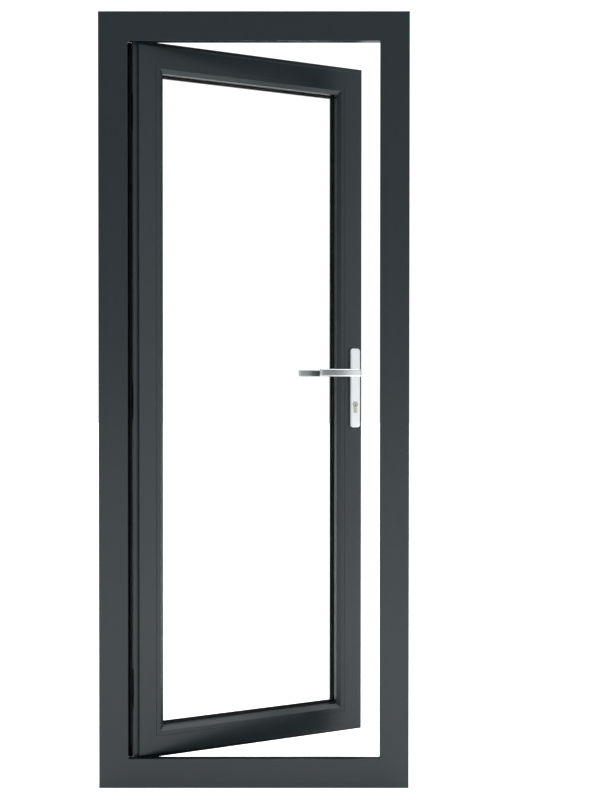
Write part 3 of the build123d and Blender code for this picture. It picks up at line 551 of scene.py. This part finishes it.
def brushedMetal(name):
    # A ground or brushed metal: fine scratches, long in one direction, that break up the gloss
    metal = metals[name]
    material, tree, shader = newMaterial(name)
    place = addNode(tree, "ShaderNodeTexCoord")
    stretched = addNode(
        tree,
        "ShaderNodeMapping",
        {"Vector": place.outputs["Object"], "Scale": metal["stretch"]},
    )
    scratch = addNode(
        tree,
        "ShaderNodeTexNoise",
        {
            "Vector": stretched.outputs[0],
            "Scale": 1 / (metal["scratchMillimetres"] * millimetre),
            "Detail": brushing["detail"],
        },
    )
    rough = addNode(
        tree,
        "ShaderNodeMapRange",
        {
            "Value": scratch.outputs["Fac"],
            "To Min": metal["roughness"] - brushing["roughnessSpread"],
            "To Max": metal["roughness"] + brushing["roughnessSpread"],
        },
    )
    tree.links.new(rough.outputs[0], shader.inputs["Roughness"])
    bump = addNode(
        tree,
        "ShaderNodeBump",
        {
            "Height": scratch.outputs["Fac"],
            "Strength": brushing["strength"],
            "Distance": metal["depth"],
        },
    )
    tree.links.new(bump.outputs[0], shader.inputs["Normal"])
    shader.inputs["Base Color"].default_value = linearColour(metal["colour"])
    shader.inputs["Metallic"].default_value = 1.0
    return material


plastics = {
    "mouldedNylon": {"colour": "a9abad", "roughness": 0.5},
    "mouldedPolypropylene": {"colour": "2a2a2c", "roughness": 0.55},
}
moulding = {
    "roughnessSpread": 0.06,
    "textureScale": 2500.0,
    "detail": 2.0,
    "depth": 0.00003,
    "strength": 0.3,
}


def mouldedPlastic(name):
    # Injection-moulded plastic: even colour, fine spark-eroded texture
    plastic = plastics[name]
    material, tree, shader = newMaterial(name)
    place = addNode(tree, "ShaderNodeTexCoord")
    texture = addNode(
        tree,
        "ShaderNodeTexNoise",
        {
            "Vector": place.outputs["Object"],
            "Scale": moulding["textureScale"],
            "Detail": moulding["detail"],
        },
    )
    rough = addNode(
        tree,
        "ShaderNodeMapRange",
        {
            "Value": texture.outputs["Fac"],
            "To Min": plastic["roughness"] - moulding["roughnessSpread"],
            "To Max": plastic["roughness"] + moulding["roughnessSpread"],
        },
    )
    tree.links.new(rough.outputs[0], shader.inputs["Roughness"])
    bump = addNode(
        tree,
        "ShaderNodeBump",
        {
            "Height": texture.outputs["Fac"],
            "Strength": moulding["strength"],
            "Distance": moulding["depth"],
        },
    )
    tree.links.new(bump.outputs[0], shader.inputs["Normal"])
    shader.inputs["Base Color"].default_value = linearColour(plastic["colour"])
    return material


coat = satinPowderCoat("satinPowderCoat")
epdm = extrudedRubber("extrudedRubber")
clearGlass = laminatedGlass("laminatedGlass")
satinAluminium = brushedMetal("anodisedAluminium")
millAluminium = brushedMetal("millAluminium")
zincSteel = brushedMetal("zincPlatedSteel")
stainless = brushedMetal("stainlessSteel")
nickel = brushedMetal("satinNickel")
nylon = mouldedPlastic("mouldedNylon")
blockPlastic = mouldedPlastic("mouldedPolypropylene")

finishOfSlot = {
    "frame_coat": coat,
    "leaf_coat": coat,
    "bead_coat": coat,
    "hinge_coat": coat,
    "mill_aluminium": millAluminium,
    "seal_rubber": epdm,
    "clear_glass": clearGlass,
    "block_plastic": blockPlastic,
    "lock_steel": zincSteel,
    "nickel": nickel,
    "handle_aluminium": satinAluminium,
    "bush_nylon": nylon,
    "screw_steel": stainless,
}
slotOfNode = {part["node"]: part["material_slot"] for part in frame["record"]["subparts"]}
for nodeName, node in frame["nodes"].items():
    node.data.materials.clear()
    node.data.materials.append(finishOfSlot[slotOfNode[nodeName]])
print("stage: finishes on", len(frame["nodes"]), "nodes")


# Pieces made by rule round the CAD model
meshing = {"sharpDegrees": 35, "weldMillimetres": 0.01, "faceMillimetres": 0.05}


def newTree(name, sockets):
    # An empty Geometry Nodes tree with its named inputs
    tree = bpy.data.node_groups.new(name, "GeometryNodeTree")
    tree.interface.new_socket("Geometry", in_out="INPUT", socket_type="NodeSocketGeometry")
    tree.interface.new_socket("Geometry", in_out="OUTPUT", socket_type="NodeSocketGeometry")
    for socketName, kind in sockets.items():
        tree.interface.new_socket(socketName, in_out="INPUT", socket_type=f"NodeSocket{kind}")
    return tree, addNode(tree, "NodeGroupInput").outputs


def closeTree(tree, geometry, material):
    # Every tree ends in real meshes with their material
    solid = addNode(tree, "GeometryNodeRealizeInstances", {"Geometry": geometry})
    dressed = addNode(tree, "GeometryNodeSetMaterial", {"Geometry": solid.outputs[0], "Material": material})
    addNode(tree, "NodeGroupOutput", {"Geometry": dressed.outputs[0]})


def grow(name, tree, values, mesh=None, place=None):
    # Runs a tree and keeps what it makes as a plain mesh, smooth between its sharp edges
    piece = bpy.data.objects.new(name, mesh or bpy.data.meshes.new(name))
    bpy.context.scene.collection.objects.link(piece)
    modifier = piece.modifiers.new(name, "NODES")
    modifier.node_group = tree
    for item in tree.interface.items_tree:
        if item.in_out == "INPUT" and item.name in values:
            modifier[item.identifier] = values[item.name]
    evaluated = piece.evaluated_get(bpy.context.evaluated_depsgraph_get())
    made = bpy.data.meshes.new_from_object(evaluated)
    piece.modifiers.clear()
    piece.data = made
    if place:
        made.transform(place)
    # cutting and joining can leave empty material slots
    made.materials.clear()
    made.materials.append(values["Material"])
    made.polygons.foreach_set("material_index", [0] * len(made.polygons))
    made.shade_smooth()
    made.set_sharp_from_angle(angle=math.radians(meshing["sharpDegrees"]))
    return piece


def closedCorners(nodeName):
    # Lowest and highest corner of a leaf's node, as it is with the leaf closed
    turnBack = hungPlace.inverted()
    points = [turnBack @ vertex.co for vertex in frame["nodes"][nodeName].data.vertices]
    return [Vector(pick(point[i] for point in points) for i in range(3)) for pick in (min, max)]


def makeSweep():
    # Extruded rubber, laid round a frame with its corners bent
    tree, given = newTree(
        "extrusionRoundFrame",
        {
            "Width": "Float",
            "Height": "Float",
            "Corner Radius": "Float",
            "Corner Steps": "Int",
            "Centre": "Vector",
            "Section": "Object",
            "Material": "Material",
        },
    )
    route = addNode(
        tree,
        "GeometryNodeCurvePrimitiveQuadrilateral",
        {"Width": given["Width"], "Height": given["Height"]},
    )
    bent = addNode(
        tree,
        "GeometryNodeFilletCurve",
        {
            "Curve": route.outputs[0],
            "Count": given["Corner Steps"],
            "Radius": given["Corner Radius"],
        },
        mode="POLY",
    )
    level = addNode(tree, "GeometryNodeSetCurveNormal", {"Curve": bent.outputs[0]}, mode="Z_UP")
    section = addNode(tree, "GeometryNodeObjectInfo", {"Object": given["Section"]})
    swept = addNode(
        tree,
        "GeometryNodeCurveToMesh",
        {"Curve": level.outputs[0], "Profile Curve": section.outputs["Geometry"]},
    )
    # drawn lying down, then stood up
    stood = addNode(
        tree,
        "GeometryNodeTransform",
        {
            "Geometry": swept.outputs[0],
            "Rotation": (math.radians(90), 0, 0),
            "Translation": given["Centre"],
        },
    )
    closeTree(tree, stood.outputs[0], given["Material"])
    return tree


def arc(centre, radii, start, end, steps):
    # Points of an ellipse's arc, with its ends in degrees
    points = []
    for i in range(steps + 1):
        turn = math.radians(start + (end - start) * i / steps)
        points.append((centre[0] + radii[0] * math.cos(turn), centre[1] + radii[1] * math.sin(turn)))
    return points


def layRubber(name, body, nodeName, outline, route, sizes):
    # An outline in millimetres, outwards and away from the near side, swept round its route
    section = bpy.data.curves.new(f"{name}Section", "CURVE")
    spline = section.splines.new("POLY")
    spline.points.add(len(outline) - 1)
    for point, (out, deep) in zip(spline.points, outline):
        point.co = (out * millimetre, deep * millimetre, 0, 1)
    spline.use_cyclic_u = True
    drawn = bpy.data.objects.new(f"{name}Section", section)
    bpy.context.scene.collection.objects.link(drawn)
    values = {
        "Width": 2 * route["halfWidth"],
        "Height": 2 * route["halfHeight"],
        "Corner Radius": sizes["cornerRadius"] * millimetre,
        "Corner Steps": sizes["cornerSteps"],
        "Centre": (0.0, route["near"], route["middle"]),
        "Section": drawn,
        "Material": epdm,
    }
    piece = grow(name, sweepTree, values, place=hungPlace if body == "leaf" else None)
    bpy.data.objects.remove(drawn)
    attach(piece, body)
    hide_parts(nodeName)


sweepTree = makeSweep()

# Sizes in millimetres, here and in the two dicts of seals after it
stopSeal = {
    "footHalf": 2.9,
    "footDepth": 1.8,
    "neckHalf": 1.4,
    "neckDepth": 1.6,
    "bulbHalf": 3.5,
    "bulbEdge": 0.7,
    "cornerRadius": 6.0,
    "cornerSteps": 8,
    "arcSteps": 10,
}


def stopSealOutline(depth):
    # Foot in the groove, neck, and a rounded bulb that ends just clear of the closed leaf
    neck = stopSeal["footDepth"]
    bulb = neck + stopSeal["neckDepth"]
    edge = bulb + stopSeal["bulbEdge"]
    crown = arc((0, edge), (stopSeal["bulbHalf"], depth - edge), 0, 180, stopSeal["arcSteps"])
    right = [
        (stopSeal["footHalf"], 0),
        (stopSeal["footHalf"], neck),
        (stopSeal["neckHalf"], neck),
        (stopSeal["neckHalf"], bulb),
        (stopSeal["bulbHalf"], bulb),
    ]
    return right + crown + [(-out, deep) for out, deep in reversed(right)]


low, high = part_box("stop_seal")
stopRoute = {
    "halfWidth": high[0] - stopSeal["bulbHalf"] * millimetre,
    "halfHeight": (high[2] - low[2]) / 2 - stopSeal["bulbHalf"] * millimetre,
    "middle": (high[2] + low[2]) / 2,
    "near": low[1],
}
outline = stopSealOutline((high[1] - low[1]) / millimetre)
layRubber("bulbSealOnStop", "frame", "stop_seal", outline, stopRoute, stopSeal)

# The pane is held between two wedge gaskets, one behind the bead and one before the far lip
paneGasket = {
    "grip": 8.0,
    "proud": 2.8,
    "tongue": 6.0,
    "heel": 0.8,
    "cornerRadius": 3.0,
    "cornerSteps": 6,
    "arcSteps": 6,
}
topSight = closedCorners("glazing_bead_top")[0][2]
bottomSight = closedCorners("glazing_bead_bottom")[1][2]
sight = {
    "halfWidth": closedCorners("glazing_bead_lock_side")[0][0],
    "halfHeight": (topSight - bottomSight) / 2,
    "middle": (topSight + bottomSight) / 2,
}


def gasketOutline(depth, paneSide):
    # Flat on the pane and on its seat, with a rounded tongue along the edge of the opening
    grip = paneGasket["grip"]
    proud = paneGasket["proud"]
    heel = depth - paneGasket["heel"]
    tongue = arc((0, heel), (proud, heel + paneGasket["tongue"]), 180, 270, paneGasket["arcSteps"])
    outline = tongue + [(0, 0), (grip, 0), (grip, depth), (-proud, depth)]
    if paneSide < 0:
        outline = [(out, depth - deep) for out, deep in reversed(outline)]
    return outline


for gasketName, nodeName, paneSide in (
    ("wedgeGasketAtBead", "bead_gasket", 1),
    ("wedgeGasketAtLip", "lip_gasket", -1),
):
    low, high = closedCorners(nodeName)
    gasketRoute = {**sight, "near": low[1]}
    outline = gasketOutline((high[1] - low[1]) / millimetre, paneSide)
    layRubber(gasketName, "leaf", nodeName, outline, gasketRoute, paneGasket)

# A fin on the leaf's edges, which ends just short of the rebate when the leaf is closed
finSeal = {
    "pad": 1.2,
    "padHalf": 4.0,
    "padBevel": 0.5,
    "finHalf": 1.0,
    "cornerRadius": 0.8,
    "cornerSteps": 6,
    "arcSteps": 8,
}
finLow, finHigh = closedCorners("rebate_seal")
edgeHalf = closedCorners("leaf_lock_stile")[1][0]
finReach = (finHigh[0] - edgeHalf) / millimetre


def finOutline():
    # A flat foot stuck to the edge, with a round-tipped fin at its middle
    pad = finSeal["pad"]
    padHalf = finSeal["padHalf"]
    bevel = finSeal["padBevel"]
    finHalf = finSeal["finHalf"]
    tip = arc((finReach - finHalf, 0), (finHalf, finHalf), -90, 90, finSeal["arcSteps"])
    lower = [(0, -padHalf), (pad - bevel, -padHalf), (pad, bevel - padHalf), (pad, -finHalf)]
    return lower + tip + [(out, -deep) for out, deep in reversed(lower)]


finRoute = {
    "halfWidth": edgeHalf,
    "halfHeight": (finHigh[2] - finLow[2]) / 2 - finReach * millimetre,
    "middle": (finHigh[2] + finLow[2]) / 2,
    "near": (finHigh[1] + finLow[1]) / 2,
}
layRubber("finSealOnLeafEdge", "leaf", "rebate_seal", finOutline(), finRoute, finSeal)
print("stage: four rubber seals and gaskets laid")


# Countersunk screws with hexagon sockets, set where the CAD model's screws are
screwShape = {
    "shank": 0.54,
    "socketRadius": 0.4,
    "socketDepth": 0.34,
    "socketSides": 6,
    "sides": 40,
}


def makeScrews():
    # Every size in the template is a share of the head's radius
    tree, given = newTree(
        "countersunkScrews",
        {
            "Shank": "Float",
            "Socket Radius": "Float",
            "Socket Depth": "Float",
            "Socket Sides": "Int",
            "Sides": "Int",
            "Material": "Material",
        },
    )
    attributes = {}
    for attributeName, kind in (("headRadius", "FLOAT"), ("reach", "FLOAT"), ("heading", "FLOAT_VECTOR")):
        found = addNode(
            tree,
            "GeometryNodeInputNamedAttribute",
            {"Name": attributeName},
            data_type=kind,
        )
        attributes[attributeName] = found.outputs[0]
    radius = attributes["headRadius"]
    heading = attributes["heading"]
    turned = addNode(tree, "FunctionNodeAlignRotationToVector", {"Vector": heading}, axis="Z").outputs[0]
    # the countersink falls at forty-five degrees, so it is as deep as it narrows
    coneDepth = addNode(tree, "ShaderNodeMath", {0: 1.0, 1: given["Shank"]}, operation="SUBTRACT").outputs[0]
    cone = addNode(
        tree,
        "GeometryNodeMeshCone",
        {
            "Vertices": given["Sides"],
            "Radius Top": given["Shank"],
            "Radius Bottom": 1.0,
            "Depth": coneDepth,
        },
    )
    # the socket's cutter stands as far out of the head as it goes in
    cutterDepth = addNode(tree, "ShaderNodeMath", {0: given["Socket Depth"], 1: 2.0}, operation="MULTIPLY")
    cutter = addNode(
        tree,
        "GeometryNodeMeshCylinder",
        {
            "Vertices": given["Socket Sides"],
            "Radius": given["Socket Radius"],
            "Depth": cutterDepth.outputs[0],
        },
    )
    head = addNode(
        tree,
        "GeometryNodeMeshBoolean",
        {"Mesh 1": cone.outputs["Mesh"], "Mesh 2": cutter.outputs["Mesh"]},
        operation="DIFFERENCE",
        solver="EXACT",
    )
    heads = addNode(
        tree,
        "GeometryNodeInstanceOnPoints",
        {"Points": given["Geometry"], "Instance": head.outputs[0], "Rotation": turned},
    )
    headScale = addNode(tree, "ShaderNodeCombineXYZ", {"X": radius, "Y": radius, "Z": radius})
    tree.links.new(headScale.outputs[0], heads.inputs["Scale"])
    # the shank starts where the cone ends
    coneReach = addNode(tree, "ShaderNodeMath", {0: radius, 1: coneDepth}, operation="MULTIPLY").outputs[0]
    step = addNode(tree, "ShaderNodeVectorMath", {0: heading, "Scale": coneReach}, operation="SCALE")
    below = addNode(
        tree,
        "GeometryNodeSetPosition",
        {"Geometry": given["Geometry"], "Offset": step.outputs[0]},
    )
    rod = addNode(
        tree,
        "GeometryNodeMeshCylinder",
        {"Vertices": given["Sides"], "Radius": given["Shank"], "Depth": 1.0},
    )
    # moved by half its length, so that it starts at its point
    rodDown = addNode(
        tree,
        "GeometryNodeTransform",
        {"Geometry": rod.outputs["Mesh"], "Translation": (0, 0, 0.5)},
    )
    rodLength = addNode(
        tree,
        "ShaderNodeMath",
        {0: attributes["reach"], 1: coneReach},
        operation="SUBTRACT",
    ).outputs[0]
    rodScale = addNode(tree, "ShaderNodeCombineXYZ", {"X": radius, "Y": radius, "Z": rodLength})
    rods = addNode(
        tree,
        "GeometryNodeInstanceOnPoints",
        {
            "Points": below.outputs[0],
            "Instance": rodDown.outputs[0],
            "Rotation": turned,
            "Scale": rodScale.outputs[0],
        },
    )
    both = addNode(tree, "GeometryNodeJoinGeometry", {"Geometry": heads.outputs[0]})
    tree.links.new(rods.outputs[0], both.inputs["Geometry"])
    closeTree(tree, both.outputs[0], given["Material"])
    return tree


def islands(node):
    # The separate solids of a node, each as its points
    solid = bmesh.new()
    solid.from_mesh(node.data)
    bmesh.ops.remove_doubles(solid, verts=solid.verts, dist=meshing["weldMillimetres"] * millimetre)
    solid.verts.index_update()
    reached = set()
    found = []
    for first in solid.verts:
        if first.index in reached:
            continue
        reached.add(first.index)
        group = [first]
        for vertex in group:
            for edge in vertex.link_edges:
                other = edge.other_vert(vertex)
                if other.index not in reached:
                    reached.add(other.index)
                    group.append(other)
        found.append([vertex.co.copy() for vertex in group])
    solid.free()
    return found


def setScrews(name, body, headings):
    # A point for each screw, at the middle of its head, with its direction and sizes
    rows = []
    for nodeName, heading in headings.items():
        for points in islands(frame["nodes"][nodeName]):
            depths = [point.dot(heading) for point in points]
            faceEnd = min(depths) + meshing["faceMillimetres"] * millimetre
            face = [point for point, depth in zip(points, depths) if depth < faceEnd]
            middle = sum(face, Vector()) / len(face)
            row = {
                "middle": middle,
                "heading": heading,
                "headRadius": max((point - middle).length for point in face),
                "reach": max(depths) - min(depths),
            }
            rows.append(row)
    places = bpy.data.meshes.new(name)
    places.from_pydata([row["middle"] for row in rows], [], [])
    aimed = places.attributes.new("heading", "FLOAT_VECTOR", "POINT")
    aimed.data.foreach_set("vector", [value for row in rows for value in row["heading"]])
    for sizeName in ("headRadius", "reach"):
        attribute = places.attributes.new(sizeName, "FLOAT", "POINT")
        attribute.data.foreach_set("value", [row[sizeName] for row in rows])
    values = {
        "Shank": screwShape["shank"],
        "Socket Radius": screwShape["socketRadius"],
        "Socket Depth": screwShape["socketDepth"],
        "Socket Sides": screwShape["socketSides"],
        "Sides": screwShape["sides"],
        "Material": stainless,
    }
    piece = grow(name, screwTree, values, mesh=places)
    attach(piece, body)
    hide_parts(*headings)
    print("stage:", len(rows), "screws set,", name)


screwTree = makeScrews()
# The way each kind of screw goes in
towardsNear = Vector((0, -1, 0))
towardsRight = Vector((1, 0, 0))
leafTowardsNear = hungPlace.to_3x3() @ towardsNear
leafTowardsLeft = hungPlace.to_3x3() @ -towardsRight
setScrews(
    "socketScrewsOnFrame",
    "frame",
    {"hinge_frame_screws": towardsNear, "strike_plate_screws": towardsRight},
)
setScrews(
    "socketScrewsOnLeaf",
    "leaf",
    {
        "hinge_leaf_screws": leafTowardsNear,
        "faceplate_screws": leafTowardsLeft,
        "cylinder_screw": leafTowardsLeft,
        "plate_bolts": leafTowardsNear,
    },
)
